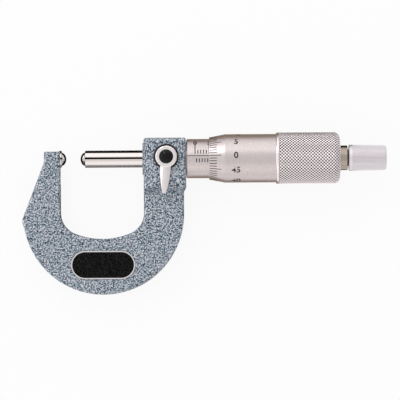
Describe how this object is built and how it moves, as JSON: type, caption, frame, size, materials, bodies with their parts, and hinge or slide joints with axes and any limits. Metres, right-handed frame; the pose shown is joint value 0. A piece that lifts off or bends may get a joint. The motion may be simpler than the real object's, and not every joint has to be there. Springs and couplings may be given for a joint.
{
  "type": "tube micrometer",
  "caption": "Outside micrometer for tube walls: C-shaped frame, ball-ended anvil and spindle, graduated sleeve and thimble, lever clamp and ratchet stop.",
  "frame": {"origin": "the anvil's measuring point, on the spindle's axis", "axes": "+X along the spindle from the anvil to the ratchet, +Y from the bow up to the head, +Z out of the face with the plate and the lever; the part lies on its back"},
  "size_m": [0.1301, 0.0575, 0.0203],
  "materials": {
    "enamel": "hammertone enamel, blue-grey with dark flecks",
    "ground_steel": "ground and polished",
    "hard_metal": "lapped and polished",
    "plate_black": "black satin with a bright rim",
    "turned_steel": "turned",
    "blackened": "glossy black",
    "satin_chrome": "satin chrome",
    "bright_chrome": "bright chrome",
    "brass": "turned",
    "pale_satin": "pale satin chrome",
    "spring_steel": "drawn wire"
  },
  "bodies": {
    "frame_body": {"frame": "enamel", "anvil": "ground_steel", "anvil_ball": "hard_metal", "range_plate": "plate_black", "inner_sleeve": "turned_steel", "adjusting_nut": "turned_steel", "clamp_washer": "blackened"},
    "sleeve_body": {"sleeve": "satin_chrome"},
    "clamp_body": {"clamp_lever": "bright_chrome", "clamp_screw": "turned_steel", "clamp_cap": "blackened"},
    "shoe_body": {"clamp_shoe": "brass"},
    "spindle_body": {"spindle": "ground_steel", "spindle_ball": "hard_metal"},
    "thimble_body": {"thimble": "satin_chrome", "ratchet_stud": "turned_steel", "ratchet_screw": "turned_steel"},
    "cap_body": {"ratchet_cap": "pale_satin", "ratchet_spring": "spring_steel"},
    "ring_body": {"ratchet_ring": "turned_steel"}
  },
  "joints": [
    {"name": "spindle_slide", "type": "slide", "parent": "frame_body", "child": "spindle_body", "axis": [1, 0, 0], "range_m": [-0.005, 0.02]},
    {"name": "thimble_turn", "type": "hinge", "parent": "spindle_body", "child": "thimble_body", "pos_m": [0.05096, 0, 0], "axis": [1, 0, 0], "range_deg": [-3600, 14400]},
    {"name": "ratchet_turn", "type": "hinge", "parent": "thimble_body", "child": "cap_body", "pos_m": [0.10076, 0, 0], "axis": [1, 0, 0], "continuous": true},
    {"name": "clutch_click", "type": "slide", "parent": "cap_body", "child": "ring_body", "axis": [1, 0, 0], "range_m": [0, 0.00045], "stiffness_N_per_m": 1000, "springref_m": -0.002, "deforming": ["ratchet_spring"]},
    {"name": "clamp_turn", "type": "hinge", "parent": "frame_body", "child": "clamp_body", "pos_m": [0.03567, 0.00075, 0.0072], "axis": [0, 0, 1], "range_deg": [-60, 0]},
    {"name": "clamp_shoe_slide", "type": "slide", "parent": "frame_body", "child": "shoe_body", "axis": [0, 0, -1], "range_m": [0, 0.0001]},
    {"name": "sleeve_turn", "type": "hinge", "parent": "frame_body", "child": "sleeve_body", "pos_m": [0.04286, 0, 0], "axis": [1, 0, 0], "continuous": true}
  ],
  "couplings": [
    {"joint": "thimble_turn", "follows": "spindle_slide", "rad_per_m": 12566},
    {"joint": "clamp_turn", "follows": "clamp_shoe_slide", "rad_per_m": -10472}
  ]
}
